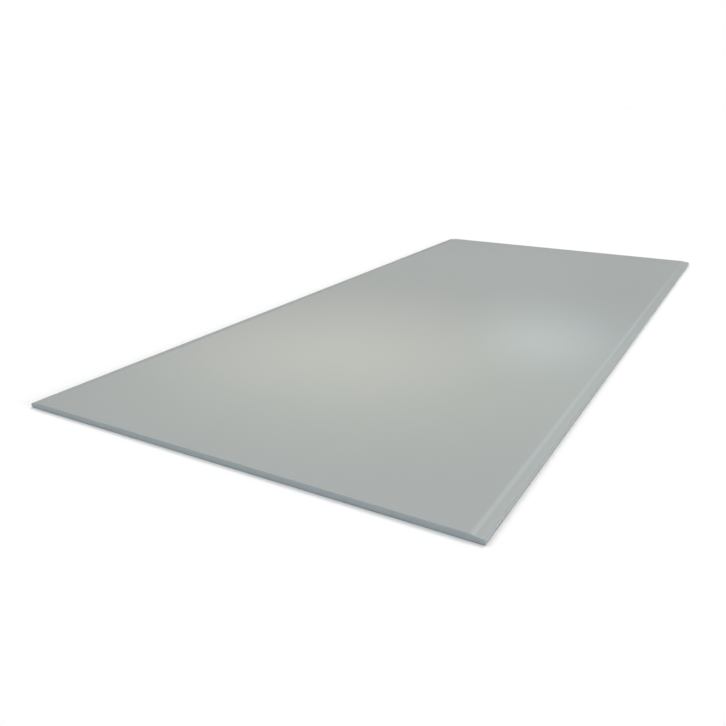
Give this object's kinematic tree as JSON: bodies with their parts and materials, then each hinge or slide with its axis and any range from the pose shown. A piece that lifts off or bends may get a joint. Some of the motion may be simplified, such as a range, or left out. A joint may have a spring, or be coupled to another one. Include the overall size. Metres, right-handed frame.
{
  "type": "drywall sheet",
  "caption": "Flat grey paper-faced gypsum board with tapered, half-round, paper-wrapped long edges and square sawn ends, screwed to framing as wall or ceiling lining.",
  "frame": {"origin": "centre of the back, on the surface that the sheet lies on", "axes": "+X across the width, +Y along the length, +Z out of the face"},
  "size_m": [1.2, 2.6, 0.015],
  "materials": {
    "board": "matte"
  },
  "bodies": {
    "root": {"drywall_sheet": "board"}
  },
  "joints": []
}
